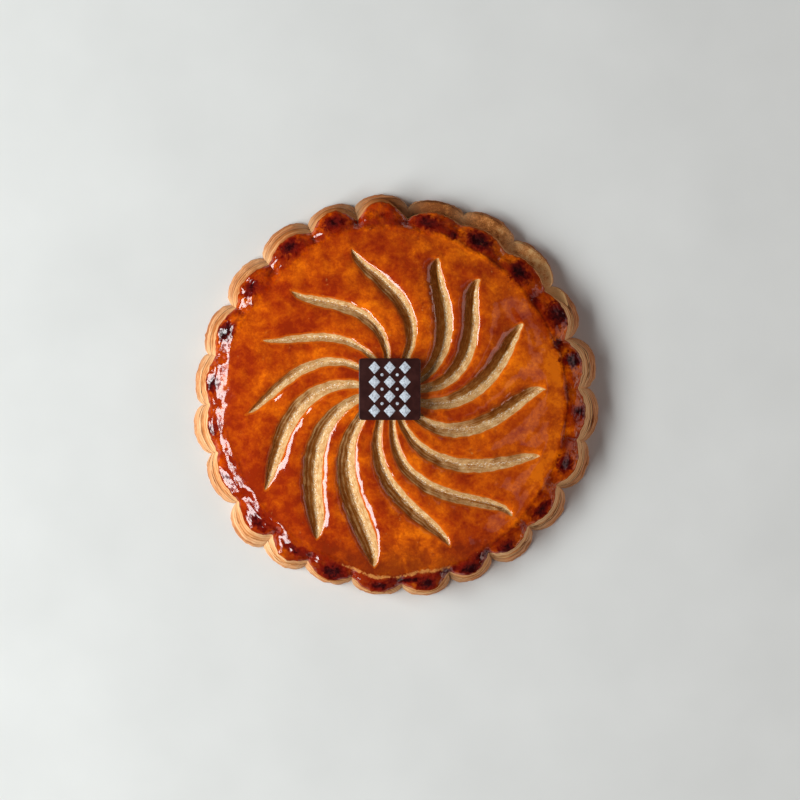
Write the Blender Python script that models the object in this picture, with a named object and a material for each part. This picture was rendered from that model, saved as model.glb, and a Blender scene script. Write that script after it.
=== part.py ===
"""Galette des rois, about 200 mm across, as three solids.

A scalloped bottom sheet of puff pastry, the glazed top pastry with its dome and fourteen
curved cuts, and a small square chocolate plaque. Metres, +Z up, the origin in the middle of
the flat underside. Seen from above, +X is to the right and +Y is away from the viewer.
"""
import math
import random

import bmesh
import bpy
from mathutils import Matrix

MM = 0.001
GAP = 0.3 * MM

# Heights above the table.
SHEET_TOP = 6.0 * MM
CREASE_HEIGHT = 17.2 * MM
DOME_TOP = 30.0 * MM

# The dome ends in a crease, pressed down all round to seal the two sheets. It is deepest at
# one angle in degrees and hardly there on the side across from it.
CREASE_DEPTH = 0.75 * MM
CREASE_SHALLOWEST = 0.12
CREASE_DEEPEST_AT = -10.0
CREASE_WIDTH = 2.2 * MM
DOME_ROUNDNESS = 2.2

# The rim outside the crease is a ring of pillows, each with a dent from a fingertip. It slopes
# down evenly, lies flatter near its edge and rolls over there. Places on it are shares of the
# way from the crease to the glazed edge, or across one pillow.
RIM_STEEPNESS = 5.65 * MM
STEEP_FROM = 0.2
FLATTER_FROM = 0.72
FLATTER_BY = 0.84
FLATNESS = 0.75
RIM_ROLL = 0.55 * MM
ROLL_TIGHTNESS = 9
VALLEY_DEPTH = 0.6 * MM
VALLEY_START = 0.35
DENT_DEPTH = 0.8 * MM
DENT_PLACE = 0.45
DENT_REACH = 0.30
DENT_WIDTH = 0.34
PILLOW_LIFT = 0.35 * MM
LIFT_END = 0.7
PILLOW_SEED = 23

# Every scallop of the rim: the angle of its peak in degrees, then distances from the middle in
# millimetres: at the peak those of the crease, the glazed edge and the foot, and at the notch
# on its anticlockwise side those of the glazed edge and the foot.
PEAK, CREASE, EDGE, FOOT, NOTCH_EDGE, NOTCH_FOOT = range(6)
SCALLOPS = (
    (10.5, 83.7, 93.0, 101.0, 87.6, 91.2),
    (26.5, 82.1, 93.0, 100.0, 89.8, 94.5),
    (44.5, 82.1, 92.4, 101.5, 89.0, 97.5),
    (61.5, 82.3, 92.2, 102.0, 90.2, 97.0),
    (78.0, 83.5, 92.5, 100.0, 87.8, 94.0),
    (95.5, 85.2, 96.6, 101.5, 89.0, 96.3),
    (110.0, 86.7, 96.9, 101.3, 91.3, 96.0),
    (125.5, 85.7, 95.2, 102.3, 91.0, 96.0),
    (143.0, 84.7, 94.7, 101.5, 90.8, 94.5),
    (159.5, 85.7, 94.6, 101.3, 91.9, 97.2),
    (175.5, 86.2, 94.9, 101.5, 92.7, 97.3),
    (189.5, 86.7, 94.9, 103.2, 93.1, 97.2),
    (205.0, 87.0, 96.1, 103.2, 94.1, 97.0),
    (222.0, 87.7, 98.1, 106.2, 92.4, 100.5),
    (234.5, 87.2, 97.9, 103.2, 92.7, 96.5),
    (248.5, 88.2, 97.1, 100.0, 92.2, 94.5),
    (263.5, 89.9, 97.4, 100.0, 93.1, 95.5),
    (279.5, 88.9, 97.5, 101.0, 90.5, 94.3),
    (293.0, 88.4, 95.4, 100.0, 90.0, 93.3),
    (307.5, 87.3, 94.9, 101.3, 91.3, 94.3),
    (323.0, 86.2, 94.4, 101.5, 90.2, 93.8),
    (338.5, 85.2, 95.2, 101.8, 91.5, 96.2),
    (354.5, 85.0, 93.7, 101.3, 89.6, 95.2),
)

# How a scallop's outline falls away to its notches: the two powers of its arch, first for the
# foot and then for the softer glazed edge.
FOOT_ARCH = (2.2, 0.62)
EDGE_ARCH = (2.0, 1.3)

# The sides slope out, with the pastry layers as steps in and out. The bottom sheet has its
# share of the slope's width, but along one stretch its top lies bare and both sides stand
# steeper. That stretch is given by its angles in degrees.
SHOULDER_SHARE = 0.52
BARE_SHOULDER_SHARE = 0.15
BARE_FROM = 33.0
BARE_TO = 89.0
BARE_BLEND = 6.0
LAYER_STEP = 0.45 * MM
FOOT_HEIGHT = 1.2 * MM
FOOT_SET_BACK = 2.2 * MM

# The curved cuts turn round the middle of the plaque. Each row gives the angle of the tip in
# degrees and its distance from that middle in millimetres, how far the cut has turned back, in
# degrees, at three quarters, a half and a quarter of that distance, half of its greatest width
# in millimetres, and how blunt the tip is on its clockwise and on its anticlockwise side.
TIP, REACH, TURNED_BACK, HALF_WIDTH, BLUNTNESS = 0, 1, slice(2, 5), 5, 6
HUB = (-3.6 * MM, 3.3 * MM)
CUTS = (
    (0.0, 77.0, 11.0, 31.0, 45.0, 4.1, 2.2, 5.0),
    (26.0, 73.0, 13.0, 31.0, 48.0, 4.3, 2.0, 6.0),
    (50.5, 70.0, 11.0, 33.0, 49.0, 4.1, 1.8, 7.0),
    (69.5, 69.0, 9.0, 28.0, 48.0, 4.3, 1.8, 7.0),
    (105.0, 72.0, 10.0, 30.0, 42.0, 3.5, 2.4, 2.4),
    (135.0, 69.0, 10.0, 29.0, 40.0, 2.9, 2.4, 2.4),
    (159.0, 67.0, 9.0, 25.0, 41.0, 2.2, 2.4, 2.4),
    (190.0, 72.0, 12.0, 31.0, 45.0, 2.6, 2.4, 2.4),
    (219.0, 79.0, 14.0, 33.0, 46.0, 4.0, 2.4, 2.4),
    (244.0, 82.0, 12.0, 30.0, 45.0, 4.8, 5.0, 4.0),
    (265.0, 88.0, 8.0, 24.0, 39.0, 5.0, 5.0, 3.0),
    (291.0, 83.0, 9.0, 25.0, 37.0, 3.6, 3.0, 3.0),
    (314.0, 87.0, 10.0, 29.0, 40.0, 3.3, 2.2, 5.0),
    (336.0, 81.0, 14.0, 32.0, 45.0, 3.5, 2.6, 6.0),
)
STATIONS = (1.0, 0.75, 0.5, 0.25)
STATION_STEP = 0.01
CUT_START = 11.0 * MM
CUT_FULL_DEPTH_FROM = 17.6 * MM
CUT_NARROWEST = 0.45
CUT_WIDENS_FROM = 0.1
CUT_WIDEST = 0.62
TIP_POINT = 0.8
CUT_STEEPNESS = 0.85
CUT_HOLLOW = 1.15
LIP_ROLL = 1.0 * MM
LIP_ROLL_REACH = 2.1 * MM
SAG_DEPTH = 1.1 * MM
SAG_REACH = 4.5 * MM
SAG_END = 27.0 * MM
SAG_FULL_FROM = 60.0 * MM

# The pastry rises a little unevenly, but it is flat in the middle, where the plaque lies.
WAVES = 6
WAVE_HEIGHT = 0.30 * MM
WAVE_SHORT = 22.0 * MM
WAVE_LONG = 60.0 * MM
WAVE_SEED = 14
FLAT_MIDDLE = 17.6 * MM
FLAT_BLEND_END = 26.4 * MM

PLAQUE_SIDE = 30.0 * MM
PLAQUE_THICKNESS = 3.0 * MM
PLAQUE_CORNER = 1.6 * MM
PLAQUE_CORNER_SEGMENTS = 4
PLAQUE_BEVEL = 0.4 * MM
PLAQUE_BEVEL_SEGMENTS = 2

# The pastry's points lie in rings, given from the middle out as shares of the dome and of the
# rim, and in columns, the same number of them for each scallop.
COLUMNS_PER_SCALLOP = 8
COLUMNS = COLUMNS_PER_SCALLOP * len(SCALLOPS)
DOME_RINGS = (0.10, 0.15, 0.20, 0.26, 0.32, 0.38, 0.45, 0.52, 0.59, 0.66, 0.73, 0.79, 0.85, 0.90, 0.95)
RIM_RINGS = (0.0, 0.2, 0.4, 0.6, 0.8, 0.93)
SIDE_RINGS = 5
COLUMNS_TO_LIP = 3
NARROWEST_COLUMN = 0.6
COLUMNS_TURN_FROM = 0.86
RING_TAG = 0.01
SHARP_ANGLE = math.radians(40.0)


def smooth(low, high, value):
    """Zero below low, one above high and a soft slope between."""
    share = min(1.0, max(0.0, (value - low) / (high - low)))
    return share * share * (3.0 - 2.0 * share)


def turn_between(start, end):
    """The angle from start to end in degrees, anticlockwise, from -180 to 180."""
    return (end - start + 180.0) % 360.0 - 180.0


def round_point(angle, radius, height):
    """A point at an angle in degrees, a radius and a height."""
    return radius * math.cos(math.radians(angle)), radius * math.sin(math.radians(angle)), height


def bend(low, high, value):
    """Level below low, a slope of one above high and a soft bend between."""
    share = min(1.0, max(0.0, (value - low) / (high - low)))
    return (high - low) * share ** 3 * (1.0 - 0.5 * share) + max(0.0, value - high)


def scallop_sides(index):
    """The turns from a scallop's peak back to the notch before it and on to the one after it."""
    peak = SCALLOPS[index][PEAK]
    following = SCALLOPS[(index + 1) % len(SCALLOPS)][PEAK]
    return 0.5 * turn_between(SCALLOPS[index - 1][PEAK], peak), 0.5 * turn_between(peak, following)


def scallop_at(angle):
    """The scallop at an angle, with the place across it: -1 and 1 are its two notches."""
    count = len(SCALLOPS)
    nearest = min(range(count), key=lambda index: abs(turn_between(SCALLOPS[index][PEAK], angle)))
    for index in (nearest, (nearest + 1) % count, nearest - 1):
        before, after = scallop_sides(index)
        offset = turn_between(SCALLOPS[index][PEAK], angle)
        if -before <= offset < after:
            break
    return index, offset / (after if offset >= 0.0 else before)


def scallop_edge(angle, at_peak, at_notch, arch):
    """The radius of a scalloped outline, from its distances at the peaks and at the notches."""
    index, across = scallop_at(angle)
    notch = SCALLOPS[index if across >= 0.0 else index - 1][at_notch]
    fullness, shoulder = arch
    rise = (1.0 - min(1.0, abs(across)) ** fullness) ** shoulder
    return (notch + (SCALLOPS[index][at_peak] - notch) * rise) * MM


def between_peaks(angle, at_peak):
    """A distance known at the peaks, passing over smoothly from each to the next."""
    index, across = scallop_at(angle)
    neighbour = SCALLOPS[(index + 1) % len(SCALLOPS) if across >= 0.0 else index - 1]
    here = SCALLOPS[index][at_peak]
    return (here + (neighbour[at_peak] - here) * smooth(0.0, 2.0, abs(across))) * MM


def foot_radius(angle):
    """The outline of the bottom sheet."""
    return scallop_edge(angle, FOOT, NOTCH_FOOT, FOOT_ARCH)


def edge_radius(angle):
    """The glazed edge of the top sheet."""
    return scallop_edge(angle, EDGE, NOTCH_EDGE, EDGE_ARCH)


def crease_radius(angle):
    """The crease between dome and rim."""
    return between_peaks(angle, CREASE)


def crease_depth(angle):
    """How deep the crease is pressed."""
    share = 0.5 + 0.5 * math.cos(math.radians(angle - CREASE_DEEPEST_AT))
    return CREASE_DEPTH * (CREASE_SHALLOWEST + (1.0 - CREASE_SHALLOWEST) * share)


def bareness(angle):
    """One where the top sheet has drawn back and the bottom sheet lies bare, else zero."""
    angle = angle % 360.0
    return smooth(BARE_FROM - BARE_BLEND, BARE_FROM, angle) - smooth(BARE_TO, BARE_TO + BARE_BLEND, angle)


def shoulder_radius(angle):
    """The upper edge of the bottom sheet's side."""
    foot = foot_radius(angle)
    bare = bareness(angle)
    share = SHOULDER_SHARE + (BARE_SHOULDER_SHARE - SHOULDER_SHARE) * bare
    return foot - share * (foot - edge_radius(angle))


def seam_radius(angle):
    """The foot of the top sheet, where it lies on the bottom sheet."""
    edge = edge_radius(angle)
    bare = bareness(angle)
    share = 1.0 - SHOULDER_SHARE + (BARE_SHOULDER_SHARE - 1.0 + SHOULDER_SHARE) * bare
    return edge + share * (foot_radius(angle) - edge)


def cut_turn(cut, distance):
    """The angle of a cut's centre line at a distance from the hub, and its slope there."""
    share = distance / (cut[REACH] * MM)
    angles = (0.0, *cut[TURNED_BACK])

    def back(place):
        total = 0.0
        for index, station in enumerate(STATIONS):
            weight = 1.0
            for other, neighbour in enumerate(STATIONS):
                if other != index:
                    weight *= (place - neighbour) / (station - neighbour)
            total += weight * angles[index]
        return total

    held = min(1.0, share)
    slope = (back(held - STATION_STEP) - back(held)) / STATION_STEP
    return cut[TIP] - back(held), math.radians(slope) * held


def cut_fullness(cut, distance, side):
    """The width on the clockwise (0) or the anticlockwise (1) side, as a share of the greatest."""
    share = distance / (cut[REACH] * MM)
    if share >= 1.0:
        return 0.0
    if share < CUT_WIDEST:
        return CUT_NARROWEST + (1.0 - CUT_NARROWEST) * smooth(CUT_WIDENS_FROM, CUT_WIDEST, share)
    towards_tip = (share - CUT_WIDEST) / (1.0 - CUT_WIDEST)
    return (1.0 - towards_tip ** cut[BLUNTNESS + side]) ** TIP_POINT


def make_waves():
    """The slow waves of the risen pastry: direction, length and phase of each."""
    draw = random.Random(WAVE_SEED)
    waves = []
    for _ in range(WAVES):
        direction = draw.uniform(0.0, 2.0 * math.pi)
        pace = 2.0 * math.pi / draw.uniform(WAVE_SHORT, WAVE_LONG)
        phase = draw.uniform(0.0, 2.0 * math.pi)
        waves.append((pace * math.cos(direction), pace * math.sin(direction), phase))
    return waves


def make_lifts():
    """How much higher or lower than its neighbours each pillow of the rim has risen."""
    draw = random.Random(PILLOW_SEED)
    return [draw.uniform(-PILLOW_LIFT, PILLOW_LIFT) for _ in SCALLOPS]


WAVE_TABLE = make_waves()
LIFT_TABLE = make_lifts()


def waviness(x, y):
    """The uneven rise of the pastry at a place."""
    return sum(math.sin(a * x + b * y + c) for a, b, c in WAVE_TABLE) * WAVE_HEIGHT / math.sqrt(WAVES)


def dome_height(x, y):
    """The top of the dome with its cuts, inside the crease."""
    radius = math.hypot(x, y)
    turn = math.degrees(math.atan2(y, x))
    crease = crease_radius(turn)
    height = DOME_TOP - (DOME_TOP - CREASE_HEIGHT) * (radius / crease) ** DOME_ROUNDNESS
    height -= crease_depth(turn) * math.exp(-((radius - crease) / CREASE_WIDTH) ** 2)
    distance = math.hypot(x - HUB[0], y - HUB[1])
    angle = math.degrees(math.atan2(y - HUB[1], x - HUB[0]))
    free = smooth(FLAT_MIDDLE, FLAT_BLEND_END, distance)
    height += free * waviness(x, y)
    if distance < CUT_START:
        return height
    opening = smooth(CUT_START, CUT_FULL_DEPTH_FROM, distance)
    sagging = smooth(FLAT_MIDDLE, SAG_FULL_FROM, distance)
    for cut in CUTS:
        middle, slope = cut_turn(cut, distance)
        across = math.radians(turn_between(middle, angle)) * distance / math.hypot(1.0, slope)
        fullness = cut_fullness(cut, distance, 1 if across > 0.0 else 0)
        if fullness <= 0.0 or abs(across) > SAG_END:
            continue
        half = cut[HALF_WIDTH] * MM * fullness
        inward = max(0.0, 1.0 - abs(across) / half)
        outside = max(0.0, abs(across) - half)
        height -= CUT_STEEPNESS * half * opening * inward ** CUT_HOLLOW
        height -= SAG_DEPTH * fullness * sagging * math.exp(-outside / SAG_REACH)
        height -= LIP_ROLL * fullness * sagging * math.exp(-outside / LIP_ROLL_REACH)
    return height


def rim_height(angle, share):
    """The top of the rim: share runs from 0 at the crease to 1 at the glazed edge."""
    index, across = scallop_at(angle)
    crease = crease_radius(angle)
    outward = share * (edge_radius(angle) - crease)
    place = outward / (between_peaks(angle, EDGE) - crease)
    steep = bend(0.0, STEEP_FROM, place) - FLATNESS * bend(FLATTER_FROM, FLATTER_BY, place)
    height = CREASE_HEIGHT - RIM_STEEPNESS * steep - RIM_ROLL * share ** ROLL_TIGHTNESS
    height -= crease_depth(angle) * math.exp(-(outward / CREASE_WIDTH) ** 2)
    height -= VALLEY_DEPTH * abs(across) ** 3 * smooth(VALLEY_START, 1.0, share)
    height += LIFT_TABLE[index] * (1.0 - across ** 2) * smooth(0.0, LIFT_END, share)
    dent = math.exp(-((share - DENT_PLACE) / DENT_REACH) ** 2 - (across / DENT_WIDTH) ** 2)
    x, y, _ = round_point(angle, crease, 0.0)
    return height - DENT_DEPTH * dent + waviness(x, y)


def turned_disc(name, ring_count, place, material):
    """A disc turned from a cut through it, whose points are then moved to their places.

    The cut runs from the middle of the top, out, down the side and back to the middle of the
    underside. Each point keeps the number of its ring in its height until it is moved.
    """
    mesh = bmesh.new()
    profile = []
    for ring in range(ring_count + 2):
        radius = 0.0 if ring in (0, ring_count + 1) else 1.0
        profile.append(mesh.verts.new((radius, 0.0, -ring * RING_TAG)))
    edges = [mesh.edges.new(pair) for pair in zip(profile, profile[1:])]
    bmesh.ops.spin(
        mesh, geom=profile + edges, cent=(0.0, 0.0, 0.0), axis=(0.0, 0.0, 1.0),
        angle=2.0 * math.pi, steps=COLUMNS, use_merge=True, use_duplicate=False)
    bmesh.ops.remove_doubles(mesh, verts=mesh.verts, dist=RING_TAG * 0.01)
    for vertex in mesh.verts:
        ring = round(-vertex.co.z / RING_TAG)
        column = round(math.atan2(vertex.co.y, vertex.co.x) / (2.0 * math.pi) * COLUMNS) % COLUMNS
        vertex.co = place(ring, column)
    bmesh.ops.recalc_face_normals(mesh, faces=mesh.faces)
    return finished(name, mesh, material)


def finished(name, mesh, material):
    """An object made from a bmesh, shaded smooth up to its sharp edges."""
    data = bpy.data.meshes.new(name)
    mesh.to_mesh(data)
    mesh.free()
    data.materials.append(material)
    data.shade_smooth()
    data.set_sharp_from_angle(angle=SHARP_ANGLE)
    thing = bpy.data.objects.new(name, data)
    bpy.context.scene.collection.objects.link(thing)
    return thing


def plain_material(name, colour, roughness, coat=0.0):
    """A Principled material of one colour."""
    material = bpy.data.materials.new(name)
    material.use_nodes = True
    shader = material.node_tree.nodes["Principled BSDF"]
    shader.inputs["Base Color"].default_value = (*colour, 1.0)
    shader.inputs["Roughness"].default_value = roughness
    shader.inputs["Metallic"].default_value = 0.0
    shader.inputs["Coat Weight"].default_value = coat
    return material


def rim_column_angle(column):
    """The angle of a column at the rim, where the columns follow the scallops."""
    index, step = divmod(column, COLUMNS_PER_SCALLOP)
    before, after = scallop_sides(index)
    across = math.sin(0.5 * math.pi * (2.0 * step / COLUMNS_PER_SCALLOP - 1.0))
    return SCALLOPS[index][PEAK] + across * (after if across >= 0.0 else before)


def crease_seen_from_hub(column):
    """The angle and the distance, from the hub, of the point where a column meets the crease."""
    angle = rim_column_angle(column)
    x, y, _ = round_point(angle, crease_radius(angle), 0.0)
    return math.degrees(math.atan2(y - HUB[1], x - HUB[0])), math.hypot(x - HUB[0], y - HUB[1])


def cut_column(index):
    """The column that runs along a cut: the one that meets the crease nearest to its tip."""
    tip = CUTS[index][TIP]
    return min(range(COLUMNS), key=lambda column: abs(turn_between(crease_seen_from_hub(column)[0], tip)))


CUT_COLUMNS = [cut_column(index) for index in range(len(CUTS))]


def dome_column_angle(column, distance):
    """The angle about the hub of a column on the dome, where the columns follow the cuts."""
    count = len(CUTS)
    index = max(range(count), key=lambda item: -((column - CUT_COLUMNS[item]) % COLUMNS))
    after = (index + 1) % count
    steps = (CUT_COLUMNS[after] - CUT_COLUMNS[index]) % COLUMNS
    step = (column - CUT_COLUMNS[index]) % COLUMNS
    here, here_slope = cut_turn(CUTS[index], distance)
    there, there_slope = cut_turn(CUTS[after], distance)
    gap = turn_between(here, there) % 360.0
    even = gap * COLUMNS_TO_LIP / steps
    lip_here = lip_turn(CUTS[index], distance, here_slope, 1, even)
    lip_there = lip_turn(CUTS[after], distance, there_slope, 0, even)
    if step <= COLUMNS_TO_LIP:
        return here + lip_here * step / COLUMNS_TO_LIP
    if step >= steps - COLUMNS_TO_LIP:
        return here + gap - lip_there * (steps - step) / COLUMNS_TO_LIP
    share = (step - COLUMNS_TO_LIP) / (steps - 2 * COLUMNS_TO_LIP)
    return here + lip_here + share * (gap - lip_here - lip_there)


def lip_turn(cut, distance, slope, side, even):
    """The angle from a cut's middle to its lip, never much less than even columns have."""
    half = cut[HALF_WIDTH] * MM * cut_fullness(cut, distance, side) * math.hypot(1.0, slope)
    return max(math.degrees(half / distance), NARROWEST_COLUMN * even)


def dome_point(column, share):
    """A point of the dome: share runs from 0 at the hub to 1 at the crease.

    The columns follow the cuts, and turn to meet the columns of the rim in the last stretch.
    """
    rim_angle, full_distance = crease_seen_from_hub(column)
    distance = share * full_distance
    swirl = dome_column_angle(column, distance)
    swirl += turn_between(swirl, rim_angle) * smooth(COLUMNS_TURN_FROM, 1.0, share)
    x = HUB[0] + distance * math.cos(math.radians(swirl))
    y = HUB[1] + distance * math.sin(math.radians(swirl))
    return x, y, dome_height(x, y)


def side_point(angle, outer, inner, share, top, foot, layer):
    """A point on a sloping side of layers: the odd layers stand out, the even ones lie in."""
    step = LAYER_STEP if layer % 2 else -LAYER_STEP
    radius = inner + (outer - inner) * share + step * math.sin(math.pi * share)
    return round_point(angle, radius, top + (foot - top) * share)


def make_bottom_sheet(material):
    """The bottom sheet: a flat scalloped disc, its side sloping out to the foot in layers."""
    def place(ring, column):
        angle = rim_column_angle(column)
        foot = foot_radius(angle)
        if ring == 0:
            return 0.0, 0.0, SHEET_TOP
        if ring <= SIDE_RINGS:
            share = (ring - 1) / (SIDE_RINGS - 1)
            return side_point(angle, foot, shoulder_radius(angle), share, SHEET_TOP, FOOT_HEIGHT, ring)
        if ring == SIDE_RINGS + 1:
            return round_point(angle, foot - FOOT_SET_BACK, 0.0)
        return 0.0, 0.0, 0.0

    return turned_disc("bottom_sheet", SIDE_RINGS + 1, place, material)


def make_top_pastry(material):
    """The glazed top: dome, cuts, crease and rim of pillows, solid down to the bottom sheet."""
    dome_count = len(DOME_RINGS)
    rim_count = len(RIM_RINGS)
    underside = SHEET_TOP + GAP
    first_side = dome_count + rim_count + 1

    def place(ring, column):
        angle = rim_column_angle(column)
        edge = edge_radius(angle)
        if ring == 0:
            return HUB[0], HUB[1], dome_height(*HUB)
        if ring <= dome_count:
            return dome_point(column, DOME_RINGS[ring - 1])
        if ring < first_side:
            share = RIM_RINGS[ring - dome_count - 1]
            crease = crease_radius(angle)
            return round_point(angle, crease + share * (edge - crease), rim_height(angle, share))
        if ring < first_side + SIDE_RINGS:
            layer = ring - first_side
            share = layer / (SIDE_RINGS - 1)
            top = rim_height(angle, 1.0)
            return side_point(angle, seam_radius(angle), edge, share, top, underside, layer)
        return 0.0, 0.0, underside

    return turned_disc("top_pastry", first_side + SIDE_RINGS - 1, place, material)


def make_plaque(material):
    """The chocolate plaque: a thin square with soft corners, laid on the middle of the dome."""
    mesh = bmesh.new()
    bmesh.ops.create_cube(mesh, size=1.0)
    bmesh.ops.scale(mesh, verts=mesh.verts, vec=(PLAQUE_SIDE, PLAQUE_SIDE, PLAQUE_THICKNESS))
    upright = [edge for edge in mesh.edges if abs(edge.verts[0].co.z - edge.verts[1].co.z) > GAP]
    bmesh.ops.bevel(
        mesh, geom=upright, offset=PLAQUE_CORNER, segments=PLAQUE_CORNER_SEGMENTS, profile=0.5,
        affect="EDGES", material=-1)
    level = [edge for edge in mesh.edges if edge.verts[0].co.z > GAP and edge.verts[1].co.z > GAP]
    bmesh.ops.bevel(
        mesh, geom=level, offset=PLAQUE_BEVEL, segments=PLAQUE_BEVEL_SEGMENTS, profile=0.5,
        affect="EDGES", material=-1)
    bmesh.ops.translate(
        mesh, verts=mesh.verts, vec=(*HUB, DOME_TOP + GAP + 0.5 * PLAQUE_THICKNESS))
    bmesh.ops.recalc_face_normals(mesh, faces=mesh.faces)
    return finished("chocolate_plaque", mesh, material)


def set_over_origin(things):
    """Moves finished pieces sideways, so that the middle of their outline is the origin."""
    points = [vertex.co for thing in things for vertex in thing.data.vertices]
    middle_x = 0.5 * (min(point.x for point in points) + max(point.x for point in points))
    middle_y = 0.5 * (min(point.y for point in points) + max(point.y for point in points))
    for thing in things:
        thing.data.transform(Matrix.Translation((-middle_x, -middle_y, 0.0)))


for old in list(bpy.data.objects):
    bpy.data.objects.remove(old)

set_over_origin([
    make_bottom_sheet(plain_material("baked_pastry", (0.62, 0.36, 0.15), 0.7)),
    make_top_pastry(plain_material("glazed_pastry", (0.55, 0.17, 0.02), 0.25, coat=0.6)),
    make_plaque(plain_material("dark_chocolate", (0.03, 0.008, 0.007), 0.35)),
])
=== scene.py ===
"""The looks of a galette des rois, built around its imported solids.

The pastry was stamped out with a scalloped ring, brushed with egg, scored with curved cuts and
baked until the dents of its rim burnt. Lengths are in metres, +Z is up, and angles are in
degrees, anticlockwise from +X as seen from above.
"""

import math

import bmesh
import bpy
import numpy as np
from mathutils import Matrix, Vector


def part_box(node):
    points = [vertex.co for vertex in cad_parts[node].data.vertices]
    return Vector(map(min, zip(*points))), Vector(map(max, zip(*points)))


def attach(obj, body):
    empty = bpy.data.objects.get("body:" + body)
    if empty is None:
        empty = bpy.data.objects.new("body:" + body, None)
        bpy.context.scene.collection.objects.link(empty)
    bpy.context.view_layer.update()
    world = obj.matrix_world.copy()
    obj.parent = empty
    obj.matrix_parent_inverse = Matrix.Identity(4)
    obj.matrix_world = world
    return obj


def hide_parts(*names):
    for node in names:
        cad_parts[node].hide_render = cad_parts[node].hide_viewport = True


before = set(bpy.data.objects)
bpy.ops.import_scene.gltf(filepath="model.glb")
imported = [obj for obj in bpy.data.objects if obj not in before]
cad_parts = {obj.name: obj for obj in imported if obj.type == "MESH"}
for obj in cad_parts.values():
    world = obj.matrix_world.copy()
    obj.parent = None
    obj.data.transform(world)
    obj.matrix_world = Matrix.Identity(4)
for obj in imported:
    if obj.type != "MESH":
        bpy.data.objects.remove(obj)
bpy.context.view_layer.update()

# ---- Bottom sheet ----
# The lower round of puff pastry, cut with a scalloped ring and baked flat on a tray. Its side
# is a stack of torn layers, and on the far right the top sheet has shrunk back and left the
# dry upper face of this one bare.

MM = 0.001
SHEET_TOP = 6.0 * MM
FOOT_HEIGHT = 1.2 * MM
FOOT_SET_BACK = 2.2 * MM

# Every scallop: the angle of its peak, then in millimetres from the middle the crease, the
# glazed edge and the foot at the peak, and the glazed edge and the foot at the notch that
# follows.
SCALLOPS = np.array((
    (10.5, 83.7, 93, 101, 87.6, 91.2),
    (26.5, 82.1, 93, 100, 89.8, 94.5),
    (44.5, 82.1, 92.4, 101.5, 89, 97.5),
    (61.5, 82.3, 92.2, 102, 90.2, 97),
    (78, 83.5, 92.5, 100, 87.8, 94),
    (95.5, 85.2, 96.6, 101.5, 89, 96.3),
    (110, 86.7, 96.9, 101.3, 91.3, 96),
    (125.5, 85.2, 95.2, 102.3, 91, 96),
    (143, 84.7, 94.7, 101.5, 90.8, 94.5),
    (159.5, 87, 94.6, 101.3, 91.9, 97.2),
    (175.5, 88.2, 94.9, 101.5, 92.7, 97.3),
    (189.5, 88, 94.9, 103.2, 93.1, 97.2),
    (205, 87.6, 96.1, 103.2, 94.1, 97),
    (222, 87.7, 98.1, 106.2, 92.4, 100.5),
    (234.5, 88.2, 97.9, 103.2, 92.7, 96.5),
    (248.5, 88.2, 97.1, 100, 92.2, 94.5),
    (263.5, 89.9, 97.4, 100, 93.1, 95.5),
    (279.5, 88.9, 97.5, 101, 90.5, 94.3),
    (293, 88.4, 95.4, 100, 90, 93.3),
    (307.5, 87.3, 94.9, 101.3, 91.3, 94.3),
    (323, 86.2, 94.4, 101.5, 90.2, 93.8),
    (338.5, 85.2, 95.2, 101.8, 91.5, 96.2),
    (354.5, 85, 93.7, 101.3, 89.6, 95.2),
))
FOOT_ARCH = (2.2, 0.62)
EDGE_ARCH = (2.0, 1.3)

# How far the foot of the top sheet and the upper edge of this one lie from the glazed edge, as
# shares of the way to this one's foot. They part where this one is bare.
SEAM_SHARE = 0.48
BARE_SEAM_SHARE = 0.15
BARE_SHOULDER_SHARE = 0.85
BARE_FROM = 33.0
BARE_TO = 89.0
BARE_BLEND = 6.0

COLUMNS_PER_SCALLOP = 26
COLUMNS = COLUMNS_PER_SCALLOP * len(SCALLOPS)
RING_TAG = 0.01
FACE_RINGS = 16
FACE_FROM = 0.80
LAYERS = 3
SIDE_RINGS = 7 * LAYERS
LAYER_GROOVE = 0.38 * MM
LAYER_REACH = 0.20 * MM
LAYER_TILT = 0.30 * MM
LAYER_FULLNESS = 0.5
LAYER_SET_BACK = 0.9
LAYER_SWELLS = (8, 110)
JOINT_SWELLS = (5, 40)
JOINT_SEED = 40
OUTLINE_RAGGED = 0.18 * MM
OUTLINE_SET_BACK = 0.8
OUTLINE_SWELLS = (60, 260)
FACE_WRINKLE = 0.10 * MM
WRINKLE_SIZE = 2.2 * MM
WRINKLE_SET_BACK = 1.5
FACE_DROP = 0.5 * MM

PEAKS = SCALLOPS[:, 0]
CREASES, EDGES, FEET, NOTCH_EDGES, NOTCH_FEET = SCALLOPS[:, 1:].T * MM


def smooth(low, high, value):
    """Zero below low, one above high and a soft slope between."""
    share = np.clip((value - low) / (high - low), 0.0, 1.0)
    return share * share * (3.0 - 2.0 * share)


def turn_between(start, end):
    """The angle from start to end, anticlockwise, from -180 to 180."""
    return (end - start + 180.0) % 360.0 - 180.0


def point_at(angle, distance):
    """The x and y of points, from their angle and distance."""
    turn = np.radians(angle)
    return distance * np.cos(turn), distance * np.sin(turn)


def bearing(x, y):
    """The angle and the distance of points, from their x and y."""
    return np.degrees(np.arctan2(y, x)), np.hypot(x, y)


TURN_AFTER = 0.5 * turn_between(PEAKS, np.roll(PEAKS, -1))
TURN_BEFORE = np.roll(TURN_AFTER, 1)


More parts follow.
